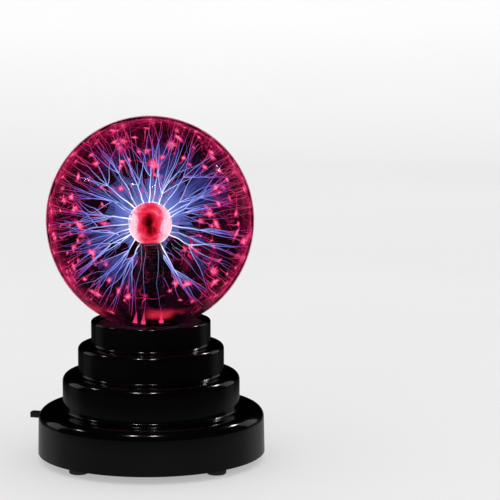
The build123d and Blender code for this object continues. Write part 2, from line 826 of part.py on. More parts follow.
with BuildPart() as resistors:
    resistor_height = board_top + resistor_radius + lead_radius
    for number in range(resistor_count):
        row_y = (number - (resistor_count - 1) / 2) * resistor_pitch
        with BuildSketch(Plane((resistor_x, row_y, resistor_height), z_dir=(1, 0, 0))):
            Circle(resistor_radius)
        extrude(amount=resistor_length / 2, both=True)
        with BuildSketch(Plane((resistor_x, row_y, resistor_height), z_dir=(1, 0, 0))):
            Circle(lead_radius)
        extrude(amount=resistor_length / 2 + lead_reach, both=True)
        with BuildSketch(Plane.XY.offset(board_top)):
            with Locations((resistor_x, row_y)):
                with GridLocations(resistor_length + 2 * lead_reach, 0, 2, 1):
                    Circle(lead_radius)
        extrude(amount=resistor_height - board_top)
resistors.part.label = "resistors"
export_step(resistors.part, "parts/resistors.step")

# Wires held inside the base
winding_side = transformer_x + winding_width / 2
with BuildPart() as high_voltage_lead:
    run_wire(
        (
            (winding_side, core_limb, core_middle),
            (high_voltage_turn, core_limb, core_middle),
            (0, 0, core_middle + high_voltage_climb),
            (0, 0, coil_start + coil_pitch),
        ),
        high_voltage_radius,
    )
high_voltage_lead.part.label = "high_voltage_lead"
export_step(high_voltage_lead.part, "parts/high_voltage_lead.step")

battery_wire_y = box_front + contact_thickness + wire_radius
with BuildPart() as battery_wires:
    for side in (-1, 1):
        wire_x = side * cell_pitch / 2
        run_wire(
            (
                (wire_x, battery_wire_y, box_ceiling),
                (wire_x, battery_wire_y, wire_top),
                (wire_x, battery_pad_inset - board_width / 2, wire_top),
                (wire_x, battery_pad_inset - board_width / 2, board_top),
            ),
            wire_radius,
        )
battery_wires.part.label = "battery_wires"
export_step(battery_wires.part, "parts/battery_wires.step")


def panel_wire(angle, back_radius, height, side, board_x):
    """Wire from the back of a panel part, up past the box and down to the board."""
    out = around(angle, back_radius, height)
    along = (-side * sin(radians(angle)), side * cos(radians(angle)))
    start = (out[0] + along[0], out[1] + along[1], height)
    back = around(angle, wire_circle, height)
    turn = (back[0] + along[0], back[1] + along[1], height)
    run_wire(
        (
            start,
            turn,
            (turn[0], turn[1], wire_top),
            (board_x, board_width / 2 - panel_pad_inset, wire_top),
            (board_x, board_width / 2 - panel_pad_inset, board_top),
        ),
        wire_radius,
    )


with BuildPart() as switch_wires:
    wire_height = switch_height + switch_wire_lift
    for side, board_x in zip((-wire_spacing, wire_spacing), switch_pads):
        panel_wire(switch_angle, switch_face - switch_depth, wire_height, side, board_x)
switch_wires.part.label = "switch_wires"
export_step(switch_wires.part, "parts/switch_wires.step")

with BuildPart() as inlet_wires:
    wire_height = inlet_height + inlet_wire_lift
    for side, board_x in zip((-wire_spacing, wire_spacing), inlet_pads):
        panel_wire(inlet_angle, inlet_face - inlet_depth, wire_height, side, board_x)
inlet_wires.part.label = "inlet_wires"
export_step(inlet_wires.part, "parts/inlet_wires.step")
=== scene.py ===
import bpy
import math
import random
from mathutils import Matrix, Vector


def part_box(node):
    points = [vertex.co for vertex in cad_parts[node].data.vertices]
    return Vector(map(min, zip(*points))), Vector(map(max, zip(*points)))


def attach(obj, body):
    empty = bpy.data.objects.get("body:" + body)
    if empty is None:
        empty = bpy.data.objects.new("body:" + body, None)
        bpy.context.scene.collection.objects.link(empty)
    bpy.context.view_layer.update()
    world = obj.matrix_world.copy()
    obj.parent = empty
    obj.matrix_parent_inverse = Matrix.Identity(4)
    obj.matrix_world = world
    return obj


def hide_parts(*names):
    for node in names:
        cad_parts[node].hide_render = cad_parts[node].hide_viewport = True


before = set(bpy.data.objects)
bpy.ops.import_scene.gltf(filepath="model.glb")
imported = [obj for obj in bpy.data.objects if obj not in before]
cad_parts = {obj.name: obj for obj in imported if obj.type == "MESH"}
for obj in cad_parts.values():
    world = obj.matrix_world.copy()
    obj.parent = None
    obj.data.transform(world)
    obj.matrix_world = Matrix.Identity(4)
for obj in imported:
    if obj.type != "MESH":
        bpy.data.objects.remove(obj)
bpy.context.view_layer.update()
mm = 0.001
up = Vector((0, 0, 1))

bulbLow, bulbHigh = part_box("glass_globe")
shellLow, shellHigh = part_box("base_shell")
ballLow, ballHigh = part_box("electrode_ball")
globeRadius = (bulbHigh.x - bulbLow.x) / 2
globeMiddle = Vector((0, 0, bulbHigh.z - globeRadius))
ballRadius = (ballHigh.x - ballLow.x) / 2
ballMiddle = Vector((0, 0, ballHigh.z - ballRadius))

# where the viewer stands, used for the camera and to lay out the main streamers
view = {"facing": 228.5, "distance": 0.800, "height": 0.1933, "turn": -2.745, "dip": 7.958, "lens": 151.0}
facing = math.radians(view["facing"])
toViewer = Vector((math.cos(facing), math.sin(facing), 0))  # level, from the axis towards the camera
toRight = Vector((-toViewer.y, toViewer.x, 0))


# shader maths
class Signal:
    # a node socket that can be used in plain sums
    def __init__(self, finish, socket):
        self.finish = finish
        self.socket = socket

    def maths(self, operation, first, second=0.0):
        return self.finish.node("Math", {"operation": operation}, {0: first, 1: second})

    def __add__(self, other):
        return self.maths("ADD", self, other)

    def __radd__(self, other):
        return self.maths("ADD", other, self)

    def __sub__(self, other):
        return self.maths("SUBTRACT", self, other)

    def __rsub__(self, other):
        return self.maths("SUBTRACT", other, self)

    def __mul__(self, other):
        return self.maths("MULTIPLY", self, other)

    def __rmul__(self, other):
        return self.maths("MULTIPLY", other, self)

    def __truediv__(self, other):
        return self.maths("DIVIDE", self, other)

    def __pow__(self, other):
        return self.maths("POWER", self, other)


class Finish:
    # one material: a Principled shader and whatever feeds it
    def __init__(self, name, sockets=None):
        self.material = bpy.data.materials.new(name)
        self.material.use_nodes = True
        self.tree = self.material.node_tree
        self.shader = self.tree.nodes["Principled BSDF"]
        self.set(sockets or {})

    def set(self, sockets):
        for name, value in sockets.items():
            self.plug(self.shader.inputs[name], value)
        return self

    def plug(self, target, value):
        if isinstance(value, Signal):
            self.tree.links.new(value.socket, target)
        elif target.type == "RGBA" and len(value) == 3:
            target.default_value = (*value, 1)
        else:
            target.default_value = value

    def node(self, kind, settings=None, sockets=None, out=0):
        made = self.tree.nodes.new("ShaderNode" + kind)
        for name, value in (settings or {}).items():
            if name == "stops":
                self.setStops(made.color_ramp, value)
            else:
                setattr(made, name, value)
        for name, value in (sockets or {}).items():
            self.plug(made.inputs[name], value)
        return Signal(self, made.outputs[out])

    def setStops(self, ramp, stops):
        while len(ramp.elements) < len(stops):
            ramp.elements.new(1.0)
        for element, (place, colour) in zip(ramp.elements, stops):
            element.position = place
            element.color = (*colour, 1)

    def place(self, centre=(0, 0, 0), scale=(1, 1, 1)):
        # object coordinates measured from a centre
        spot = self.node("TexCoord", out="Object")
        shifted = tuple(-c * s for c, s in zip(centre, scale))
        return self.node("Mapping", {}, {"Vector": spot, "Location": shifted, "Scale": scale})

    def noise(self, where, scale, detail=3.0, roughness=0.55, distortion=0.0):
        return self.node("TexNoise", {}, {
            "Vector": where, "Scale": scale, "Detail": detail,
            "Roughness": roughness, "Distortion": distortion})

    def ramp(self, value, stops):
        return self.node("ValToRGB", {"stops": stops}, {"Fac": value})

    def grey(self, value, low, high):
        # 0 below low, 1 above high, straight between
        return self.node("MapRange", {"clamp": True}, {
            "Value": value, "From Min": low, "From Max": high, "To Min": 0.0, "To Max": 1.0})

    def part(self, where, index):
        # the x, y or z of a place
        return self.node("SeparateXYZ", {}, {0: where}, index)

    def parts(self, where):
        # x, y and z in mm
        return [self.part(where, index) / mm for index in range(3)]

    def border(self, blend, out="Facing"):
        # 0 where a surface faces the eye, 1 where it is seen edge on
        return self.node("LayerWeight", {}, {"Blend": blend}, out)

    def cracks(self, where, scale):
        # distance to the nearest border of a net of cells
        sockets = {"Vector": where, "Scale": scale}
        return self.node("TexVoronoi", {"feature": "DISTANCE_TO_EDGE"}, sockets, "Distance")

    def vector(self, operation, where, other=(0, 0, 0), out="Value"):
        return self.node("VectorMath", {"operation": operation}, {0: where, 1: other}, out)

    def along(self, where, direction):
        # how far a place lies in a direction
        return self.vector("DOT_PRODUCT", where, tuple(direction))

    def length(self, where):
        return self.vector("LENGTH", where)

    def blend(self, amount, first, second):
        # colour: the first where amount is 0, the second where it is 1
        return self.node("Mix", {"data_type": "RGBA"}, {"Factor": amount, 6: first, 7: second}, 2)

    def bump(self, height, depth):
        return self.node("Bump", {}, {"Height": height, "Strength": 1.0, "Distance": depth})


def mottled(name, dark, light, scale, roughness, grain=0.0, grainScale=900, sockets=None):
    # a finish with slow colour drift, uneven gloss and, if asked for, a fine grain
    finish = Finish(name, sockets)
    where = finish.place()
    drift = finish.noise(where, scale, 4)
    low, high = roughness
    finish.set({
        "Base Color": finish.ramp(drift, [(0.3, dark), (0.7, light)]),
        "Roughness": low + (high - low) * finish.noise(where, scale * 3.1, 5)})
    if grain:
        finish.set({"Normal": finish.bump(finish.noise(where, grainScale, 3), grain)})
    return finish


def gasFinish(name, strength, roughness=0.6):
    # gives light and mirrors nothing
    return Finish(name, {
        "Base Color": (0, 0, 0), "Roughness": roughness,
        "Specular IOR Level": 0.0, "Emission Strength": strength,
    })


# modelling helpers
def middleOf(name):
    low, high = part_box(name)
    return Vector([(a + b) / 2 for a, b in zip(low, high)])


def outward(degrees):
    # the level direction at an angle from +X
    turn = math.radians(degrees)
    return Vector((math.cos(turn), math.sin(turn), 0))


def startClean():
    if bpy.context.object and bpy.context.object.mode != "OBJECT":
        bpy.ops.object.mode_set(mode="OBJECT")
    bpy.ops.object.select_all(action="DESELECT")


def editAll(action="SELECT"):
    bpy.ops.object.mode_set(mode="EDIT")
    bpy.ops.mesh.select_all(action=action)


def leaveEdit():
    bpy.ops.object.mode_set(mode="OBJECT")


def choose(piece):
    startClean()
    piece.select_set(True)
    bpy.context.view_layer.objects.active = piece


def settle(piece, smoothAngle=35):
    # place and size go into the mesh, and the faces are made even
    choose(piece)
    bpy.ops.object.transform_apply(location=True, rotation=True, scale=True)
    editAll()
    bpy.ops.mesh.remove_doubles(threshold=0.000002)
    bpy.ops.mesh.normals_make_consistent(inside=False)
    leaveEdit()
    bpy.ops.object.shade_smooth_by_angle(angle=math.radians(smoothAngle))


def turnInside(piece):
    # faces look to the other side
    choose(piece)
    editAll()
    bpy.ops.mesh.flip_normals()
    leaveEdit()


def pickEdges(piece, wanted):
    # selects the edges whose two ends pass the test
    for edge in piece.data.edges:
        ends = [piece.data.vertices[i].co for i in edge.vertices]
        edge.select = all(wanted(end) for end in ends)


def bevelEdges(piece, wanted, size, steps):
    pickEdges(piece, wanted)
    bpy.ops.object.mode_set(mode="EDIT")
    bpy.ops.mesh.select_mode(type="EDGE")
    bpy.ops.mesh.bevel(offset=size, segments=steps, profile=0.5)
    leaveEdit()


def pickRims():
    # in edit mode, selects the open borders
    editAll("DESELECT")
    bpy.ops.mesh.select_mode(type="EDGE")
    bpy.ops.mesh.select_non_manifold()


def arc(across, height, radius, start, end, steps):
    # points of an arc in the (radius, height) plane, angles in degrees
    turns = [math.radians(start + (end - start) * i / steps) for i in range(steps + 1)]
    return [(across + radius * math.cos(t), height + radius * math.sin(t)) for t in turns]


def turned(name, outline, sides=96):
    # a ring drawn out from point to point of the outline, as on a lathe
    startClean()
    radius, height = outline[0]
    bpy.ops.mesh.primitive_circle_add(vertices=sides, radius=radius, location=(0, 0, height))
    piece = bpy.context.object
    piece.name = name
    editAll()
    for (r0, z0), (r1, z1) in zip(outline, outline[1:]):
        bpy.ops.mesh.extrude_edges_move(TRANSFORM_OT_translate={"value": (0, 0, z1 - z0)})
        if r1 <= 0:
            bpy.ops.mesh.merge(type="CENTER")
        else:
            bpy.ops.transform.resize(value=(r1 / r0, r1 / r0, 1), center_override=(0, 0, z1))
    leaveEdit()
    bpy.ops.object.transform_apply(location=True, rotation=True, scale=True)
    return piece


def roundRing(piece, radius, height, size, steps=5):
    # bevels the ring of edges at that radius and height
    def onRing(end):
        return math.hypot(math.hypot(end.x, end.y) - radius, end.z - height) < 0.01 * mm

    choose(piece)
    editAll("DESELECT")
    leaveEdit()
    bevelEdges(piece, onRing, size, steps)


def cutWith(piece, cutter):
    choose(piece)
    cut = piece.modifiers.new("cut", "BOOLEAN")
    cut.object = cutter
    cut.solver = "EXACT"
    bpy.ops.object.modifier_apply(modifier=cut.name)
    bpy.data.objects.remove(cutter)


def joined(name, pieces):
    startClean()
    for p in pieces:
        p.select_set(True)
    bpy.context.view_layer.objects.active = pieces[0]
    bpy.ops.object.join()
    result = bpy.context.object
    result.name = name
    return result


def coat(piece, finish):
    piece.data.materials.clear()
    piece.data.materials.append(finish.material)


def dress(piece, finish, slot, *nodes, body="base"):
    coat(piece, finish)
    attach(piece, body)
    if nodes:
        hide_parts(*nodes)


# stepped base shell
print("stage: base shell")
shell = {
    # outer radius, top and rounding of each step, up to the collar
    "steps": ((43.65, 20.2, 3.8), (34.3, 34.0, 3.0), (28.25, 45.2, 2.0), (23.1, 54.7, 0.9)),
    "wall": 2.2, "collarWall": 2.3, "collarEdge": 0.45, "root": 1.1, "neckHole": 13.3, "sides": 160,
    "slot": (12, 6.6, 3.0), "slotAngle": 120, "slotShift": 1.5, "socketHole": 3.2, "socketAngle": 60,
    "cutAt": 43, "cutDepth": 12,
}
shellGloss = mottled("shellGloss", (0.0008, 0.0008, 0.0009), (0.0022, 0.0022, 0.0024), 30, (0.07, 0.16),
                     grain=0.000004, grainScale=420, sockets={"Specular IOR Level": 0.25})


def makeShell():
    outline = [(shellHigh.x, shellLow.z)]
    innerSteps = []
    for i, (radius, top, _) in enumerate(shell["steps"]):
        if i:
            outline.append((radius * mm, outline[-1][1]))
        outline.append((radius * mm, top * mm))
        innerSteps.append((radius * mm, top * mm))
    wall = shell["wall"] * mm
    cupRadius = (shell["steps"][3][0] - shell["collarWall"]) * mm
    cupFloor = shell["steps"][2][1] * mm
    outline += [(cupRadius, shellHigh.z), (cupRadius, cupFloor), (shell["neckHole"] * mm, cupFloor)]
    for radius, top in reversed(innerSteps[:3]):
        outline += [(outline[-1][0], top - wall), (radius - wall, top - wall)]
    outline += [(outline[-1][0], shellLow.z), outline[0]]
    piece = turned("baseShell", outline, shell["sides"])
    settle(piece)
    for i, (radius, top, edge) in enumerate(shell["steps"]):
        roundRing(piece, radius * mm, top * mm, edge * mm, 8)
        if i:
            roundRing(piece, radius * mm, shell["steps"][i - 1][1] * mm, shell["root"] * mm, 5)
    roundRing(piece, cupRadius, shellHigh.z, shell["collarEdge"] * mm, 4)
    # the switch's slot, a little off the middle because the lever rests at one end of it
    startClean()
    out = outward(shell["slotAngle"])
    along = up.cross(out)
    spot = (out * shell["cutAt"] - along * shell["slotShift"]) * mm + up * middleOf("switch_lever").z
    bpy.ops.mesh.primitive_cube_add(size=1, location=spot, rotation=(0, 0, math.radians(shell["slotAngle"])),
                                    scale=Vector(shell["slot"]) * mm)
    cutWith(piece, bpy.context.object)
    # the hole for the power socket
    startClean()
    spot = outward(shell["socketAngle"]) * shell["cutAt"] * mm + up * middleOf("inlet_pin").z
    bpy.ops.mesh.primitive_cylinder_add(
        vertices=48, radius=shell["socketHole"] * mm, depth=shell["cutDepth"] * mm, location=spot,
        rotation=(0, math.pi / 2, math.radians(shell["socketAngle"])))
    cutWith(piece, bpy.context.object)
    settle(piece, 28)
    return piece


dress(makeShell(), shellGloss, "shell_plastic", "base_shell")

# globe: clear glass, and the thin glowing layer just inside it
print("stage: globe")
bulb = {
    "swell": 3.0, "wall": 1.2, "neck": 12.5, "blend": 4.0, "sides": 128, "rings": 40,
    # the two thin layers inside, and how far up the neck they start
    "skinGap": 0.12, "darkGap": 0.3, "layerStart": 12.0,
}


def bulbOutline(inset, lowest):
    # from the neck up to the crown, at a distance inside the outer surface
    low = globeRadius + bulb["swell"] * mm - inset
    blend = bulb["blend"] * mm + inset
    neck = bulb["neck"] * mm - inset
    across = neck + blend + bulb["swell"] * mm
    drop = math.sqrt((low + blend) ** 2 - across ** 2)
    turn = math.degrees(math.atan2(drop, across))
    middle = globeMiddle.z
    points = [(neck, lowest)] if lowest < middle - drop else []
    points += arc(neck + blend, middle - drop, blend, 180, 180 - turn, 8)
    points += arc(-bulb["swell"] * mm, middle, low, -turn, 0, bulb["rings"])[1:]
    points += arc(0, middle, globeRadius - inset, 0, 90, bulb["rings"])[1:-1]
    return points + [(0, middle + globeRadius - inset)]


def makeGlass():
    outer = bulbOutline(0, bulbLow.z)
    inner = bulbOutline(bulb["wall"] * mm, bulbLow.z)
    outside = turned("outside", outer, bulb["sides"])
    inside = turned("inside", inner, bulb["sides"])
    settle(outside)
    settle(inside)
    turnInside(inside)
    piece = joined("globeGlass", [outside, inside])
    pickRims()
    bpy.ops.mesh.bridge_edge_loops()
    leaveEdit()
    bpy.ops.object.shade_smooth_by_angle(angle=math.radians(50))
    return piece


def clearGlass():
    finish = Finish("clearGlass", {"Base Color": (0.02, 0.022, 0.03), "IOR": 1.5, "Emission Strength": 1.0})
    where = finish.place(globeMiddle)
    smear = finish.noise(where, 60, 5, 0.6, 1.5)
    edge = finish.border(0.12, "Fresnel")
    # painted glow: seen edge on, the glass is painted with the pink glow of the gas round its border
    border = finish.border(0.5)
    patchy = finish.grey(finish.noise(where, 130, 5, 0.72, 1.8), 0.43, 0.58)
    height = finish.part(where, 2) / mm
    # painted glow round the border, broken into patches and faded out low on the globe
    paintedRimGlow = finish.grey(border, 0.54, 0.86) * (0.05 + 0.95 * patchy) * finish.grey(height, -34.0, -29.0)
    return finish.set({
        "Roughness": 0.01 + 0.05 * smear, "Alpha": 0.05 + 0.25 * edge + 0.30 * paintedRimGlow,
        "Emission Color": finish.ramp(paintedRimGlow, [
            (0.0, (0.0, 0.0, 0.0)), (0.35, (0.35, 0.004, 0.06)), (1.0, (0.85, 0.035, 0.17))])})


def glowSkin():
    # a broken net of thin pink lines and soft patches; clear between them
    finish = gasFinish("glowSkin", 1.6, 0.4)
    where = finish.place(globeMiddle)
    warp = where
    for scale, amount in ((38, 0.014), (170, 0.007)):
        swirl = finish.node("TexNoise", {}, {"Vector": where, "Scale": scale, "Detail": 2.0}, "Color")
        warp = finish.node("Mix", {"data_type": "VECTOR"}, {"Factor": amount, 4: warp, 5: swirl}, 1)

    def net(scale, width):
        return 1.0 - finish.grey(finish.cracks(warp, scale), 0.0, width)

    some = finish.grey(finish.noise(where, 75, 2), 0.50, 0.66)
    other = finish.grey(finish.noise(where, 50, 2), 0.52, 0.68)
    lines = net(62, 0.022) * some + net(120, 0.03) * other
    haze = finish.grey(finish.noise(where, 85, 5, 0.7, 1.2), 0.56, 0.80)
    height = finish.part(where, 2) / mm
    band = finish.grey(height, -35.8, -33.6) * (1.0 - finish.grey(height, -32.4, -29.5))
    glow = lines * 0.55 + haze * 0.45 + band * finish.grey(finish.noise(where, 60, 3), 0.40, 0.62) * 0.5
    pink = finish.ramp(glow, [
        (0.0, (0.25, 0.002, 0.05)), (0.4, (0.7, 0.012, 0.13)), (1.0, (1.0, 0.12, 0.32))])
    return finish.set({
        "Emission Color": finish.blend(band, pink, (0.62, 0.02, 0.035)),
        "Alpha": finish.grey(glow, 0.02, 0.9)})


def paintedShadeBack():
    # painted shade: a dark sheet behind the glow with faint red in it; only the far side shows, because its
    # faces look inwards
    finish = gasFinish("paintedShadeBack", 1.0)
    where = finish.place(globeMiddle)
    paintedShadeDrift = finish.noise(where, 40, 5, 0.65, 0.8)
    behind = finish.node("NewGeometry", out="Backfacing")
    finish.set({
        "Emission Color": finish.ramp(paintedShadeDrift, [
            (0.35, (0.0015, 0.0006, 0.0012)), (0.55, (0.012, 0.0012, 0.006)),
            (0.75, (0.075, 0.002, 0.022))]),
        "Alpha": 1.0 - behind})
    finish.material.use_backface_culling = True
    return finish


def layerInside(name, gap):
    piece = turned(name, bulbOutline(bulb[gap] * mm, bulbLow.z + bulb["layerStart"] * mm), bulb["sides"])
    settle(piece, 60)
    return piece


dress(makeGlass(), clearGlass(), "clear_glass", "glass_globe")
dress(layerInside("glowSkin", "skinGap"), glowSkin(), "plasma_glow")
# painted shade: the dark layer behind the glow
dark = layerInside("paintedShadeBack", "darkGap")
turnInside(dark)
dress(dark, paintedShadeBack(), "plasma_glow")

# electrode ball and the glow of its core
print("stage: electrode")


def electrodeFinish():
    # painted glow laid out round the line to the camera: a dark upright patch in the middle, red round it,
    # pale pink towards the sides, and a painted thin white rim highlight round its border
    finish = Finish("electrodeFinish", {
        "Roughness": 0.3, "Specular IOR Level": 0.15, "Emission Strength": 1.15})
    where = finish.place(ballMiddle)
    across = finish.along(where, toRight) / ballRadius
    tall = finish.along(where, up) / ballRadius * 0.5
    paintedLimbGlow = (across * across + tall * tall) ** 0.5
    wave = finish.noise(where, 115, 4, 0.6, 1.3) - 0.5
    fine = finish.noise(where, 480, 4, 0.65) - 0.5
    glow = paintedLimbGlow * 1.3 + wave * 1.5 + fine * 0.12
    face = finish.ramp(glow, [
        (0.02, (0.008, 0.0, 0.001)), (0.17, (0.20, 0.002, 0.006)), (0.36, (0.72, 0.010, 0.035)),
        (0.58, (0.86, 0.05, 0.12)), (0.78, (0.96, 0.26, 0.40)), (1.0, (1.0, 0.62, 0.74))])
    # painted highlight: a thin white rim where the ball is seen edge on
    edge = finish.border(0.5)
    border = finish.ramp(finish.grey(edge, 0.66, 0.76), [(0.0, (0.0, 0.0, 0.0)), (1.0, (1.0, 0.86, 0.96))])
    glowing = finish.node("Mix", {"data_type": "RGBA", "blend_type": "SCREEN"},
                          {"Factor": 1.0, 6: face, 7: border}, 2)
    return finish.set({
        "Base Color": (0.06, 0.004, 0.008),
        "Emission Color": glowing,
        "Normal": finish.bump(fine, 0.00004)})


startClean()
bpy.ops.mesh.primitive_uv_sphere_add(segments=96, ring_count=48, radius=ballRadius, location=ballMiddle)
electrode = bpy.context.object
electrode.name = "electrodeGlass"
settle(electrode, 60)
dress(electrode, electrodeFinish(), "electrode_glass", "electrode_ball")

# streamers
print("stage: streamers")
plasma = {
    "seed": 11, "reach": 39.2,  # reach: from the globe's middle to the ends of the streamers, mm
    "hidden": 17, "branches": (3, 5), "twigs": (0, 1), "loose": 90, "flames": 130,
    "fork": (12, 23), "looseStart": (9, 22), "flame": (3, 10), "crawl": (1.5, 4.5),  # lengths, mm
    "trunkSway": 0.025, "branchSway": 0.035, "twigSway": 0.05, "looseSway": 0.03, "flameSway": 0.06,
    "spotSize": (0.75, 1.65), "spotStretch": (1.0, 2.0), "spotEdge": (0.6, 1.4),
    # radii and the length of a foot, mm
    "trunk": 0.25, "branch": 0.10, "twig": 0.075, "foot": (0.10, 0.95), "footLength": 4.0,
    "crawler": (0.13, 0.03),
}
# main streamers in view: turn round the ball from the right, lean towards the viewer (degrees)
shown = (
    (132, 10), (150, -25), (104, 5), (95, 16), (83, -8), (66, 14), (52, -20), (35, 10), (12, -30),
    (-6, 15), (-30, 12), (-62, 18), (-76, -14), (-100, -42), (-112, 14), (-134, 20), (-152, -8),
    (-170, 12), (172, -18), (205, -35), (20, 24), (160, 26))
# the three that stand on the glass in front of the stem: sideways and height of the foot, mm
standing = ((-6.0, 56.1), (-2.9, 55.8), (3.9, 56.3))
goldenAngle = math.pi * (3 - math.sqrt(5))


def glassPoint(direction, reach):
    # where a line from the electrode meets the sphere of that radius about the globe's middle
    offset = ballMiddle - globeMiddle
    b = offset.dot(direction)
    c = offset.length_squared - reach * reach
    return ballMiddle + direction * (-b + math.sqrt(b * b - c))


def glassRadius(height):
    # outer radius of the globe's lower half at a height
    low = globeRadius + bulb["swell"] * mm
    return math.sqrt(low * low - (height - globeMiddle.z) ** 2) - bulb["swell"] * mm


def wander(rng, start, end, count, sway):
    # a line from start to end that drifts sideways and kinks a little
    line = end - start
    side = line.cross(up if abs(line.normalized().z) < 0.9 else Vector((1, 0, 0))).normalized()
    other = line.cross(side).normalized()
    waves = [(rng.uniform(0.6, 1.3), rng.uniform(0, 6.3), rng.uniform(-1, 1), rng.uniform(-1, 1))
             for _ in range(2)]
    waves += [(rng.uniform(2.5, 5), rng.uniform(0, 6.3), rng.uniform(-0.13, 0.13), rng.uniform(-0.13, 0.13))
              for _ in range(2)]
    points = []
    for i in range(count + 1):
        t = i / count
        point = start + line * t
        swell = math.sin(math.pi * t) ** 0.7 if 0 < t < 1 else 0
        for rate, phase, a, b in waves:
            wave = math.sin(rate * math.tau * t + phase)
            point = point + (side * a + other * b) * wave * sway * line.length * swell
        kink = Vector((rng.gauss(0, 1), rng.gauss(0, 1), rng.gauss(0, 1))) * 0.0011 * line.length * swell
        points.append(point + kink)
    return points


def turnedAway(rng, direction, low, high):
    # a direction between low and high degrees away from the given one
    side = direction.orthogonal().normalized()
    side = Matrix.Rotation(rng.uniform(0, math.tau), 3, direction) @ side
    return (Matrix.Rotation(math.radians(rng.uniform(low, high)), 3, side) @ direction).normalized()


def clearOfStem(direction):
    # keeps streamers out of the neck
    steepest = 0.86
    if direction.z > -steepest:
        return direction
    flat = Vector((direction.x, direction.y, 0))
    flat = flat.normalized() if flat.length > 0.01 else toViewer
    return (flat * math.sqrt(1 - steepest * steepest) - up * steepest).normalized()


def beforeStem(point):
    # low on the glass and in line with the stem
    away = point - globeMiddle
    return abs(away.dot(toRight)) < 7.5 * mm and away.z < -10 * mm


def spread(count, top, drop, start=0.0):
    # directions evenly round the ball, from top downwards on a spiral
    for i in range(count):
        height = top - drop * (i + 0.5) / count
        spin = i * goldenAngle + start
        flat = math.sqrt(1 - height * height)
        yield Vector((math.cos(spin) * flat, math.sin(spin) * flat, height))


def layOut():
    rng = random.Random(plasma["seed"])
    roots = []
    for turn, lean in shown:
        turn, lean = math.radians(turn), math.radians(lean)
        level = toRight * math.cos(turn) + up * math.sin(turn)
        roots.append(level * math.cos(lean) + toViewer * math.sin(lean))
    roots += [way for way in spread(plasma["hidden"], 0.95, 1.7) if way.dot(toViewer) < 0.35]
    trees, reach = [], plasma["reach"] * mm
    for way in roots:
        way = clearOfStem(turnedAway(rng, way.normalized(), 0, 4))
        fork = rng.uniform(*plasma["fork"]) * mm
        root = ballMiddle + way * ballRadius * 0.99
        forkAt = ballMiddle + clearOfStem(turnedAway(rng, way, 0, 7)) * fork
        trunk = wander(rng, root, forkAt, 8, plasma["trunkSway"])
        branches = []
        for _ in range(rng.randint(*plasma["branches"])):
            towards = clearOfStem(turnedAway(rng, way, 3, 27))
            end = glassPoint(towards, reach)
            branches.append(wander(rng, forkAt, end, 14, plasma["branchSway"]))
        twigs = []
        for branch in branches:
            for _ in range(rng.randint(*plasma["twigs"])):
                start = branch[rng.randint(6, 11)]
                towards = clearOfStem(turnedAway(rng, (branch[-1] - ballMiddle).normalized(), 2, 11))
                twigs.append(wander(rng, start, glassPoint(towards, reach), 8, plasma["twigSway"]))
        trees.append({"way": way, "trunk": trunk, "branches": branches, "twigs": twigs})
    loose = []
    for way in spread(plasma["loose"], 0.96, 1.75, 1.3):
        way = clearOfStem(turnedAway(rng, way, 0, 9))
        begin = rng.uniform(*plasma["looseStart"])
        inFront = way.dot(toViewer)
        sideways = math.sqrt(1 - inFront * inFront)
        if inFront > 0:
            # nothing crosses in front of the electrode
            if sideways < 0.80:
                continue
            begin = max(begin, 10.5 / sideways)
        start = ballMiddle + turnedAway(rng, way, 1, 6) * begin * mm
        loose.append(wander(rng, start, glassPoint(way, reach), 14, plasma["looseSway"]))
    feet = []
    for side, height in standing:
        way = (toViewer * 0.35 + toRight * side * 0.07 - up * 0.85).normalized()
        root = ballMiddle + way * ballRadius
        out = glassRadius(height * mm) - 1.0 * mm
        forward = math.sqrt(out * out - (side * mm) ** 2)
        foot = toViewer * forward + (toRight * side + up * height) * mm
        line = wander(rng, root, foot, 12, plasma["looseSway"])
        loose.append(line)
        back = (line[-2] - line[-1]).normalized() * plasma["footLength"] * mm
        feet.append([line[-1] + back * (1 - t / 4) for t in range(5)])
    # flames: short glowing ends that stand on the glass all round, some in front, some behind
    flames = []
    for way in spread(plasma["flames"], 0.93, 1.68, 0.4):
        way = clearOfStem(turnedAway(rng, way, 0, 10))
        inFront = way.dot(toViewer)
        if inFront > 0 and math.sqrt(1 - inFront * inFront) < 0.42:
            continue
        foot = glassPoint(way, reach)
        if beforeStem(foot):
            continue
        inwards = turnedAway(rng, (ballMiddle - foot).normalized(), 0, 22)
        inner = foot + inwards * rng.uniform(*plasma["flame"]) * mm
        flames.append(wander(rng, inner, foot, 8, plasma["flameSway"]))
    return trees, loose, feet, flames


def strands(name, lines, sides=3):
    # lines: points, thickness at the start, thickness at the end, all in metres
    startClean()
    bpy.ops.curve.primitive_nurbs_path_add(location=(0, 0, 0))
    curve = bpy.context.object
    curve.name = name
    curve.data.splines.clear()
    curve.data.bevel_depth = 1.0
    curve.data.bevel_resolution = sides - 2
    curve.data.use_fill_caps = True
    for points, first, last in lines:
        spline = curve.data.splines.new("POLY")
        spline.points.add(len(points) - 1)
        for i, (slot, point) in enumerate(zip(spline.points, points)):
            slot.co = (*point, 1)
            slot.radius = first + (last - first) * i / (len(points) - 1)
    bpy.ops.object.convert(target="MESH")
    piece = bpy.context.object
    choose(piece)
    bpy.ops.object.shade_smooth()
    return piece


trees, loose, feet, flames = layOut()


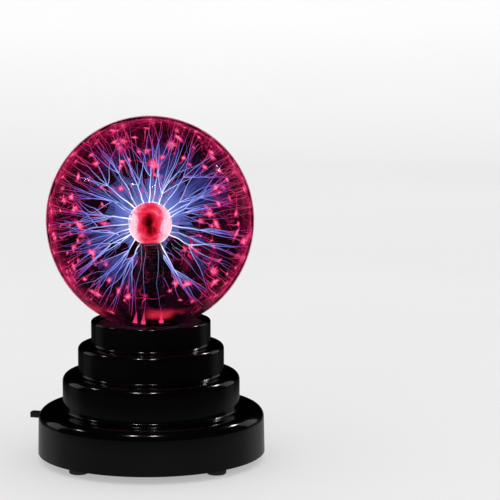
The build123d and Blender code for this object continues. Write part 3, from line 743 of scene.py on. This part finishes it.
def streamerFinish(name, strength, shift):
    # white at the electrode, then blue, violet and pink at the glass; shift moves the colours inwards, mm
    finish = Finish(name, {"Roughness": 0.5, "Emission Strength": strength})
    where = finish.place(ballMiddle)
    far = finish.length(where)
    drift = finish.noise(where, 55, 3) - 0.5
    colour = finish.ramp(finish.grey(far / mm + drift * 20.0 + shift, 8.5, 42.0), [
        (0.0, (1.0, 0.97, 1.0)), (0.15, (0.62, 0.68, 1.0)), (0.35, (0.30, 0.36, 0.90)),
        (0.60, (0.18, 0.17, 0.68)), (0.75, (0.28, 0.06, 0.42)), (0.87, (0.55, 0.02, 0.14)),
        (1.0, (0.85, 0.04, 0.17))])
    return finish.set({"Base Color": (0.02, 0.01, 0.02), "Emission Color": colour})


def dressStreamers(name, lines, sides, finishName, strength, shift):
    dress(strands(name, lines, sides), streamerFinish(finishName, strength, shift), "plasma_glow")


thick, mid, thin = (plasma[k] * mm for k in ("trunk", "branch", "twig"))
trunkLines = [(t["trunk"], thick, thick * 0.55) for t in trees]
branchLines = [(b, mid * 1.2, mid * 0.6) for t in trees for b in t["branches"]]
dressStreamers("trunkStreamers", trunkLines + branchLines, 3, "streamerGlow", 1.5, 0.0)
twigLines = [(w, thin * 1.1, thin * 0.6) for t in trees for w in t["twigs"]]
looseLines = [(line, thin * 0.45, thin) for line in loose]
dressStreamers("twigStreamers", twigLines + looseLines, 2, "twigGlow", 0.95, 1.5)
flameLines = [(line, thin * 0.5, thin * (1.6 + 2.4 * (0.618 * i % 1))) for i, line in enumerate(flames)]
dressStreamers("flameStreamers", flameLines, 3, "flameGlow", 0.95, 6.0)
footLines = [(line, plasma["foot"][0] * mm, plasma["foot"][1] * mm) for line in feet]
dressStreamers("footStreamers", footLines, 4, "footGlow", 1.2, 14.0)

# veils: thin blue sheets between neighbouring streamers
print("stage: veils")


def veilFinish():
    # streaks that run out from the electrode and fade
    finish = gasFinish("veilFinish", 1.0)
    where = finish.place(ballMiddle)
    way = finish.vector("NORMALIZE", where, out="Vector")
    far = finish.length(where) / mm
    streaks = finish.noise(way, 14, 4, 0.6)
    cloud = finish.noise(where, 110, 3)
    fade = 1.0 - finish.grey(far, 16.0, 36.0)
    return finish.set({
        "Emission Color": finish.ramp(finish.grey(far, 8.0, 34.0), [
            (0.0, (0.22, 0.28, 0.78)), (0.2, (0.12, 0.16, 0.58)), (0.6, (0.06, 0.07, 0.38)),
            (1.0, (0.05, 0.012, 0.14))]),
        "Alpha": finish.grey(streaks * 0.75 + cloud * 0.25, 0.40, 0.60) * fade * 0.85})


def sheetBetween(first, second, count, across=4):
    # rows of points from one line to the other, bowed a little inwards
    rows = []
    for i in range(count):
        a, b = first[i], second[i]
        row = []
        for j in range(across + 1):
            u = j / across
            point = a.lerp(b, u)
            bow = math.sin(math.pi * u) * (a - b).length * 0.16
            row.append(point + (ballMiddle - point).normalized() * bow)
        rows.append(row)
    return rows


def aroundTrunk(tree):
    # the branches in their order round the trunk
    side = tree["way"].orthogonal().normalized()
    other = tree["way"].cross(side)

    def turn(line):
        way = line[-1] - ballMiddle
        return math.atan2(way.dot(other), way.dot(side))

    return sorted(tree["branches"], key=turn)


def makeVeils():
    # each sheet is a grid laid over the rows of points
    sheets = []
    rng = random.Random(plasma["seed"] + 3)
    for tree in trees:
        fan = aroundTrunk(tree)
        for a, b in zip(fan, fan[1:] + fan[:1]):
            if (a[-1] - b[-1]).length < 22 * mm and rng.random() < 0.6:
                sheets.append(sheetBetween(a, b, 10))
    for i, one in enumerate(trees):
        for two in trees[i + 1:]:
            if one["way"].angle(two["way"]) < math.radians(40) and rng.random() < 0.75:
                sheets.append(sheetBetween(one["trunk"], two["trunk"], 9))
    made = []
    for rows in sheets:
        startClean()
        across, along = len(rows[0]) - 1, len(rows) - 1
        bpy.ops.mesh.primitive_grid_add(x_subdivisions=across, y_subdivisions=along, size=1)
        piece = bpy.context.object
        flat = [point for row in rows for point in row]
        for vertex, point in zip(piece.data.vertices, flat):
            vertex.co = point - piece.location
        made.append(piece)
    print("veil sheets:", len(made))
    piece = joined("blueVeils", made)
    bpy.ops.object.shade_smooth()
    return piece


dress(makeVeils(), veilFinish(), "plasma_glow")

# contact spots where streamers touch the glass
print("stage: contact spots")


def spotFinish():
    # warmth is 1 in the middle of a spot and 0 round its edge
    finish = gasFinish("spotFinish", 1.5)
    glow = finish.node("Attribute", {"attribute_name": "warmth"}, out="Fac")
    grain = finish.noise(finish.place(globeMiddle), 330, 4, 0.65)
    heat = glow * (0.5 + grain * 1.2)
    return finish.set({
        "Emission Color": finish.ramp(heat, [
            (0.0, (0.45, 0.0, 0.07)), (0.45, (0.85, 0.03, 0.17)), (1.0, (1.0, 0.22, 0.38))]),
        "Alpha": finish.grey(heat, 0.04, 0.95)})


def makeSpots():
    rng = random.Random(plasma["seed"] + 5)
    startClean()
    bpy.ops.mesh.primitive_circle_add(vertices=16, radius=1, fill_type="TRIFAN", location=(0, 0, 0))
    pattern = bpy.context.object
    warmth = pattern.data.attributes.new("warmth", "FLOAT", "POINT")
    for v in pattern.data.vertices:
        warmth.data[v.index].value = 1.0 if v.co.length < 0.1 else 0.0
    first, last = (size * mm for size in plasma["crawler"])
    spots, crawlers = [], []
    tips = [(line[-1], 1.1) for line in flames]
    tips += [(b[-1], 0.8) for t in trees for b in t["branches"] if rng.random() < 0.6]
    tips += [(line[-1], 0.7) for line in loose if rng.random() < 0.2]
    for tip, scale in tips:
        if beforeStem(tip):
            continue
        out = (tip - globeMiddle).normalized()
        away = tip - globeMiddle - toViewer * (tip - globeMiddle).dot(toViewer)
        long = (away - out * away.dot(out)).normalized()
        long = Matrix.Rotation(rng.gauss(0, 0.5), 3, out) @ long
        wide = out.cross(long)
        size = rng.uniform(*plasma["spotSize"]) ** 1.7 * scale * mm
        stretch = rng.uniform(*plasma["spotStretch"])
        spot = pattern.copy()
        spot.data = pattern.data.copy()
        bpy.context.collection.objects.link(spot)
        for v in spot.data.vertices:
            ragged = rng.uniform(*plasma["spotEdge"])
            v.co = tip + (long * v.co.x * stretch + wide * v.co.y) * size * ragged
        spots.append(spot)
        for _ in range(rng.randint(0, 2)):
            turn = rng.uniform(0, math.tau)
            side = long * math.cos(turn) + wide * math.sin(turn)
            end = tip + side * rng.uniform(*plasma["crawl"]) * mm
            end = globeMiddle + (end - globeMiddle).normalized() * (tip - globeMiddle).length
            crawlers.append((wander(rng, tip, end, 6, 0.05), first, last))
    bpy.data.objects.remove(pattern)
    return joined("contactSpots", spots), crawlers


spots, crawlers = makeSpots()
dress(spots, spotFinish(), "plasma_glow")
dressStreamers("glassCrawlers", crawlers, 2, "crawlerGlow", 0.7, 10.0)

# stem, coiled lead, seat ring
print("stage: stem and seat")
stemLow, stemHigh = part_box("stem_tube")
stem = {
    "radius": 5.0, "wall": 0.6, "flare": 10.4, "flareTop": 53.6, "bend": 4.2, "bendTurn": 58,
    "cone": 5.9, "coneTop": 63.4, "tubeStart": 67.2,  # the cone narrows to the tube between these heights
}


def makeStem():
    flare, bend = stem["flare"], stem["bend"]
    outer = [(flare, stemLow.z / mm), (flare, stem["flareTop"])]
    outer += arc(flare - bend, stem["flareTop"], bend, 0, stem["bendTurn"], 8)[1:]
    outer += [(stem["cone"], stem["coneTop"]), (stem["radius"], stem["tubeStart"])]
    outer.append((stem["radius"], stemHigh.z / mm))
    inner = [(r - stem["wall"], z) for r, z in reversed(outer)]
    outline = [(r * mm, z * mm) for r, z in outer + inner + outer[:1]]
    piece = turned("stemGlass", outline, 64)
    settle(piece, 45)
    return piece


def stemFinish():
    finish = Finish("stemGlass", {"IOR": 1.5, "Base Color": (0.012, 0.012, 0.018)})
    where = finish.place()
    return finish.set({
        "Roughness": 0.03 + 0.1 * finish.noise(where, 90, 4),
        "Alpha": 0.55 + 0.12 * finish.noise(where, 40, 3)})


dress(makeStem(), stemFinish(), "clear_glass", "stem_tube")

coilLow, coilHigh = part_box("lead_spring")
coil = {"wire": 0.275, "pitch": 1.07, "stepsPerTurn": 20}


def makeCoil():
    wire = coil["wire"] * mm
    radius = coilHigh.x - wire
    start, rise = coilLow.z + wire, coilHigh.z - coilLow.z - 2 * wire
    turns = rise / (coil["pitch"] * mm)
    count = int(turns * coil["stepsPerTurn"])
    points = []
    for i in range(count + 1):
        spin = math.tau * turns * i / count
        points.append(Vector((radius * math.cos(spin), radius * math.sin(spin), start + rise * i / count)))
    return strands("leadCoil", [(points, wire, wire)], 3)


wireFinish = mottled("wireFinish", (0.35, 0.34, 0.36), (0.75, 0.74, 0.76), 300, (0.15, 0.3),
                     0.00001, 2500, {"Metallic": 0.7})
dress(makeCoil(), wireFinish, "spring_steel", "lead_spring")

# seat ring, feet and the lever's grip
print("stage: seat, feet, lever")
seat = {"inner": 15.1, "slope": 1.2, "edge": 0.35}
foot = {"dimple": 1.9, "dimpleEdge": 2.3, "dimpleDepth": 0.35, "edge": 0.6}
lever = {
    "width": 3.0, "thick": 2.4, "root": 39.0, "tip": 50.0, "edge": 0.32,
    "ridges": 4, "ridge": 0.16, "firstRidge": 0.9, "ridgePitch": 0.8,
}


def makeSeat():
    low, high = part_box("seat_ring")
    inner, slope, edge = (seat[k] * mm for k in ("inner", "slope", "edge"))
    outer = high.x
    outline = [(inner, low.z), (outer, low.z), (outer, high.z - slope), (inner, high.z), (inner, low.z)]
    piece = turned("seatRing", outline, 128)
    settle(piece)
    roundRing(piece, outer, high.z - slope, edge, 4)
    roundRing(piece, inner, high.z, edge, 4)
    settle(piece)
    return piece


seatFinish = mottled("seatFinish", (0.012, 0.012, 0.013), (0.022, 0.022, 0.023), 60, (0.35, 0.5),
                     0.00001, 1500)
dress(makeSeat(), seatFinish, "seat_silicone", "seat_ring")


def makeFoot(number):
    low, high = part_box(f"foot_{number}")
    radius = (high.x - low.x) / 2
    outline = [(foot["dimple"] * mm, foot["dimpleDepth"] * mm), (foot["dimpleEdge"] * mm, 0.0)]
    outline += [(radius, 0.0), (radius, high.z), (0, high.z)]
    piece = turned(f"rubberFoot{number}", outline, 48)
    choose(piece)
    pickRims()
    bpy.ops.mesh.edge_face_add()
    leaveEdit()
    settle(piece)
    roundRing(piece, radius, 0.0, foot["edge"] * mm, 5)
    piece.location = ((low.x + high.x) / 2, (low.y + high.y) / 2, 0)
    settle(piece)
    return piece


footFinish = mottled("footFinish", (0.012, 0.012, 0.012), (0.022, 0.021, 0.021), 120, (0.55, 0.7),
                     0.00002, 2200)
for number in range(1, 5):
    dress(makeFoot(number), footFinish, "foot_rubber", f"foot_{number}")


def makeLever():
    # a rounded bar with grip ridges across its upper and lower faces near the tip
    width, thick = lever["width"] * mm, lever["thick"] * mm
    length = (lever["tip"] - lever["root"]) * mm
    startClean()
    bpy.ops.mesh.primitive_cube_add(size=1, location=(0, 0, 0), scale=(length, width, thick))
    piece = bpy.context.object
    piece.name = "leverGrip"
    bpy.ops.object.transform_apply(scale=True)
    editAll()
    bpy.ops.mesh.bevel(offset=lever["edge"] * mm, segments=4)
    leaveEdit()
    for i in range(lever["ridges"]):
        fromTip = (lever["firstRidge"] + lever["ridgePitch"] * i) * mm
        for face in (-1, 1):
            startClean()
            bpy.ops.mesh.primitive_cylinder_add(
                vertices=16, radius=lever["ridge"] * mm, depth=width * 2,
                location=(length / 2 - fromTip, 0, face * thick / 2), rotation=(math.pi / 2, 0, 0))
            cutWith(piece, bpy.context.object)
    choose(piece)
    piece.rotation_euler.z = math.radians(shell["slotAngle"])
    out = outward(shell["slotAngle"])
    piece.location = out * (lever["root"] * mm + length / 2) + up * middleOf("switch_lever").z
    settle(piece, 40)
    return piece


leverFinish = mottled("leverFinish", (0.006, 0.006, 0.0065), (0.012, 0.012, 0.013), 200, (0.3, 0.42),
                      0.000008, 2500)
dress(makeLever(), leverFinish, "switch_plastic", "switch_lever", body="lever")

# finishes of the parts that keep their own shape
print("stage: inner parts")


def finishNodes(finish, *names):
    for name in names:
        coat(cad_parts[name], finish)


def metal(name, dark, light, scale, rough, stretch=(1, 1, 1)):
    finish = Finish(name, {"Metallic": 1.0})
    where = finish.place((0, 0, 0), stretch)
    drift = finish.noise(where, scale, 5, 0.65)
    return finish.set({
        "Base Color": finish.ramp(drift, [(0.3, dark), (0.7, light)]),
        "Roughness": rough[0] + (rough[1] - rough[0]) * finish.noise(where, scale * 2.3, 4),
        "Normal": finish.bump(drift, 0.000012)})


def cellFinish(name):
    finish = Finish(name + "Jacket")
    where = finish.place(middleOf(name))
    across, lengthways, tall = finish.parts(where)
    radius = (across * across + tall * tall) ** 0.5
    facing = 1 if name in ("cell_1", "cell_3") else -1
    metalPart = 1.0 - finish.grey(radius, 4.6, 4.75)
    gold = finish.grey(lengthways * facing, 9.0, 9.2)
    scuff = finish.noise(where, 420, 5, 0.7)
    jacket = finish.blend(gold, (0.02, 0.035, 0.03), (0.45, 0.27, 0.08))
    worn = finish.blend(finish.grey(scuff, 0.62, 0.74) * 0.4, jacket, (0.3, 0.3, 0.29))
    return finish.set({
        "Base Color": finish.blend(metalPart, worn, (0.62, 0.61, 0.58)), "Metallic": metalPart,
        "Roughness": 0.2 + 0.2 * scuff, "Normal": finish.bump(scuff, 0.000006)})


def boardFinish():
    finish = Finish("boardFinish", {"Coat Weight": 0.3})
    where = finish.place()
    trace = 1.0 - finish.grey(finish.cracks(where, 210), 0.05, 0.07)
    weave = finish.noise(where, 1500, 2)
    return finish.set({
        "Base Color": finish.blend(trace, (0.008, 0.075, 0.03), (0.02, 0.16, 0.06)),
        "Roughness": 0.28 + 0.12 * weave, "Normal": finish.bump(trace + weave * 0.3, 0.00003)})


def windingFinish():
    finish = Finish("windingFinish", {"Coat Weight": 0.4})
    where = finish.place()
    turns = finish.node("TexWave", {"wave_type": "BANDS", "bands_direction": "Z"},
                        {"Vector": where, "Scale": 900.0, "Distortion": 0.6, "Detail": 2.0}, "Fac")
    return finish.set({
        "Base Color": finish.ramp(turns, [(0.2, (0.25, 0.09, 0.015)), (0.8, (0.62, 0.33, 0.06))]),
        "Roughness": 0.25 + 0.2 * turns, "Normal": finish.bump(turns, 0.00004)})


def capacitorFinish():
    # a dark sleeve with a pale stripe, and a bare top
    middle = middleOf("main_capacitor")
    finish = Finish("capacitorFinish")
    where = finish.place((middle.x, middle.y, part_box("main_capacitor")[1].z))
    across, depth, tall = finish.parts(where)
    radius = (across * across + depth * depth) ** 0.5
    top = finish.grey(tall, -0.3, -0.2) * (1.0 - finish.grey(radius, 3.0, 3.1))
    stripe = finish.grey(across, 3.2, 3.3)
    sleeve = finish.blend(stripe, (0.008, 0.012, 0.05), (0.45, 0.46, 0.5))
    grain = finish.noise(where, 700, 4)
    return finish.set({
        "Base Color": finish.blend(top, sleeve, (0.7, 0.7, 0.72)), "Metallic": top,
        "Roughness": 0.22 + 0.2 * grain, "Normal": finish.bump(grain, 0.000008)})


def resistorFinish():
    # a tan body with four rings of colour across it, and tinned leads
    finish = Finish("resistorFinish")
    where = finish.place((middleOf("resistors").x, 0, 0))
    across = finish.part(where, 0) / mm
    grain = finish.noise(where, 900, 4)
    tan = (0.55, 0.42, 0.26)
    rings = ((0.18, (0.28, 0.09, 0.02)), (0.39, (0.01, 0.01, 0.01)), (0.60, (0.6, 0.12, 0.02)),
             (0.83, (0.5, 0.33, 0.1)))
    stops = [(0.0, tan)]
    for start, colour in rings:
        stops += [(start - 0.01, tan), (start, colour), (start + 0.08, colour), (start + 0.09, tan)]
    body = finish.ramp(finish.grey(across, -3.0, 3.0), stops)
    lead = finish.grey(across * across, 9.1, 9.2)
    return finish.set({
        "Base Color": finish.blend(lead, body, (0.7, 0.7, 0.68)), "Metallic": lead,
        "Roughness": 0.25 + 0.2 * grain, "Normal": finish.bump(grain, 0.000008)})


def pairedWires(name, split, first, second):
    # one wire of the pair each side of the split, measured along x in mm
    finish = Finish(name, {"Coat Weight": 0.2})
    where = finish.place()
    side = finish.grey(finish.part(where, 0) / mm, split - 0.05, split + 0.05)
    grain = finish.noise(where, 600, 4)
    return finish.set({
        "Base Color": finish.blend(side, first, second),
        "Roughness": 0.3 + 0.2 * grain, "Normal": finish.bump(grain, 0.00001)})


def transistorFinish():
    finish = Finish("transistorFinish")
    where = finish.place((0, 0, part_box("power_transistor")[0].z))
    grain = finish.noise(where, 1200, 4)
    lead = 1.0 - finish.grey(finish.part(where, 2) / mm, 2.95, 3.0)
    return finish.set({
        "Base Color": finish.blend(lead, (0.012, 0.012, 0.013), (0.72, 0.71, 0.69)), "Metallic": lead,
        "Roughness": 0.35 + 0.25 * grain, "Normal": finish.bump(grain, 0.000012)})


# name, dark, light, scale, roughness, grain, grain scale, nodes
moulded = (
    ("plateFinish", (0.010, 0.010, 0.0105), (0.018, 0.018, 0.019), 60, (0.42, 0.6), 0.00003, 1600,
     "base_plate", "battery_door"),
    ("innerPlastic", (0.012, 0.012, 0.013), (0.03, 0.03, 0.031), 300, (0.4, 0.55), 0.00001, 2000,
     "switch_body", "power_inlet"),
    ("ferriteFinish", (0.03, 0.03, 0.032), (0.075, 0.072, 0.07), 900, (0.45, 0.6), 0.00003, 1400,
     "transformer_core"),
    ("bobbinFinish", (0.62, 0.55, 0.36), (0.72, 0.66, 0.46), 200, (0.35, 0.5), 0.00001, 1500,
     "transformer_bobbin"),
    ("resinFinish", (0.35, 0.07, 0.012), (0.5, 0.13, 0.02), 250, (0.15, 0.3), 0.00002, 400,
     "film_capacitor"),
    ("leadFinish", (0.55, 0.54, 0.52), (0.68, 0.67, 0.65), 200, (0.35, 0.5), 0.00001, 900,
     "high_voltage_lead"))
for row in moulded:
    finishNodes(mottled(*row[:7]), *row[7:])
# name, dark, light, scale, roughness, stretch, nodes
metals = (
    ("zincFinish", (0.42, 0.42, 0.41), (0.62, 0.61, 0.58), 700, (0.25, 0.42), (1, 1, 1),
     "plate_screws", "board_screws"),
    ("nickelFinish", (0.55, 0.53, 0.48), (0.78, 0.76, 0.70), 500, (0.15, 0.3), (1, 1, 1),
     "contact_strips", "contact_springs", "inlet_pin"),
    ("sinkFinish", (0.55, 0.55, 0.56), (0.76, 0.76, 0.78), 900, (0.3, 0.5), (1, 1, 0.05), "heat_sink"),
    ("woolFinish", (0.12, 0.12, 0.13), (0.7, 0.7, 0.72), 1500, (0.35, 0.6), (1, 1, 1), "electrode_core"))
for row in metals:
    finishNodes(metal(*row[:6]), *row[6:])
for number in range(1, 5):
    finishNodes(cellFinish(f"cell_{number}"), f"cell_{number}")
finishNodes(boardFinish(), "circuit_board")
finishNodes(windingFinish(), "transformer_winding")
finishNodes(transistorFinish(), "power_transistor")
finishNodes(capacitorFinish(), "main_capacitor")
finishNodes(resistorFinish(), "resistors")
black, red = (0.012, 0.012, 0.012), (0.42, 0.01, 0.01)
finishNodes(pairedWires("batteryWires", 0.0, black, red), "battery_wires")
finishNodes(pairedWires("switchWires", -12.5, red, black), "switch_wires")
finishNodes(pairedWires("inletWires", 13.0, black, red), "inlet_wires")
tipGlass = mottled("tipFinish", (0.75, 0.78, 0.8), (0.85, 0.87, 0.9), 90, (0.02, 0.08), 0.00001, 500,
                   {"IOR": 1.5, "Alpha": 0.35})
finishNodes(tipGlass, "exhaust_tip")

# floor, light and camera
print("stage: studio")
room = {"floor": 4.0, "wall": 2.5, "bend": 0.9, "lampAim": 0.07}


def makeFloor():
    # a sheet that runs back and bends up behind the object
    startClean()
    bpy.ops.mesh.primitive_plane_add(size=room["floor"], location=(0, 0, 0))
    piece = bpy.context.object
    piece.name = "floor"
    piece.rotation_euler.z = math.atan2(-toViewer.y, -toViewer.x)
    bpy.ops.object.transform_apply(location=True, rotation=True, scale=True)
    editAll("DESELECT")
    bpy.ops.mesh.select_mode(type="EDGE")
    leaveEdit()
    atBack = 0.1 - room["floor"] / 2
    pickEdges(piece, lambda end: end.dot(toViewer) < atBack)
    bpy.ops.object.mode_set(mode="EDIT")
    bpy.ops.mesh.extrude_edges_move(TRANSFORM_OT_translate={"value": (0, 0, room["wall"])})
    leaveEdit()
    bevelEdges(piece, lambda end: end.dot(toViewer) < atBack and end.z < room["wall"] / 2, room["bend"], 16)
    bpy.ops.object.shade_smooth()
    return piece


def paperFinish():
    # pale paper with painted light: it glows a little on its own so that shadows stay light, and glows more
    # higher up the bend
    finish = Finish("paperFinish", {"Specular IOR Level": 0.1, "Emission Strength": 1.0})
    where = finish.place()
    drift = finish.noise(where, 3, 3)
    # painted light: the glow grows towards the top of the bend
    light = 0.40 + 0.11 * finish.grey(finish.part(where, 2), 0.0, 0.12)
    return finish.set({
        "Base Color": finish.ramp(drift, [(0.3, (0.55, 0.55, 0.552)), (0.7, (0.57, 0.57, 0.572))]),
        "Emission Color": finish.ramp(light, [(0.0, (0.0, 0.0, 0.0)), (1.0, (1.0, 1.0, 1.0))]),
        "Roughness": 0.5 + 0.1 * drift})


floor = makeFloor()
floor.data.materials.append(paperFinish().material)
floor.visible_glossy = False


def softLight(name, power, size, turn, height, distance):
    # turn is measured round the object from the viewer, anticlockwise from above
    # it only shows as a highlight, and points at the axis
    spot = Matrix.Rotation(math.radians(turn), 3, "Z") @ toViewer * distance + up * height
    bpy.ops.object.light_add(type="AREA", location=spot)
    lamp = bpy.context.object
    lamp.name = name
    lamp.data.shape = "RECTANGLE"
    lamp.data.size, lamp.data.size_y = size
    lamp.data.energy = power
    lamp.visible_diffuse = False
    lamp.rotation_euler = (up * room["lampAim"] - spot).to_track_quat("-Z", "Y").to_euler()


softLight("leftPanel", 0.5, (0.4, 0.5), -118, 0.30, 0.9)
softLight("rightPanel", 0.5, (0.4, 0.5), 122, 0.30, 0.9)
windows = ((-91, 0.45, 0.35), (-23, 0.62, 1.3), (3, 0.60, 1.1), (112, 0.45, 1.2))  # turn, height, power
for turn, height, power in windows:
    softLight("window", power, (0.07, 0.05), turn, height, 0.55)

sheen = {"radius": 0.5, "below": 0.0005, "bright": 0.10, "dark": 0.16}


def sheenFinish():
    # grey near the base and nearly black further out
    finish = Finish("sheenFinish", {"Base Color": (0, 0, 0), "Emission Strength": 1.0})
    where = finish.place()
    drift = finish.noise(where, 12, 3)
    near = 1.0 - finish.grey(finish.length(where), sheen["bright"], sheen["dark"])
    return finish.set({"Emission Color": finish.ramp(near * (0.7 + 0.3 * drift), [
        (0.0, (0.02, 0.02, 0.02)), (1.0, (0.31, 0.31, 0.31))])})


# a card under the object that only its glossy walls see
startClean()
bpy.ops.mesh.primitive_circle_add(vertices=64, radius=sheen["radius"], fill_type="NGON",
                                  location=(0, 0, -sheen["below"]))
card = bpy.context.object
card.name = "tableSheen"
for rays in ("camera", "diffuse", "shadow", "transmission"):
    setattr(card, "visible_" + rays, False)
card.data.materials.append(sheenFinish().material)

world = bpy.data.worlds.new("studio")
bpy.context.scene.world = world
world.use_nodes = True
background = world.node_tree.nodes["Background"]
background.inputs["Color"].default_value = (1, 1, 1, 1)
background.inputs["Strength"].default_value = 0.85
world.cycles_visibility.glossy = False

cameraSpot = toViewer * view["distance"] + up * view["height"]
bpy.ops.object.camera_add(location=cameraSpot)
camera = bpy.context.object
camera.data.lens = view["lens"]
ahead = Matrix.Rotation(math.radians(view["turn"]), 3, "Z") @ -toViewer
dip = math.radians(view["dip"])
ahead = ahead * math.cos(dip) - up * math.sin(dip)
camera.rotation_euler = ahead.to_track_quat("-Z", "Y").to_euler()
bpy.context.scene.camera = camera
bpy.context.scene.view_settings.view_transform = "Standard"
bpy.context.scene.cycles.transparent_max_bounces = 48
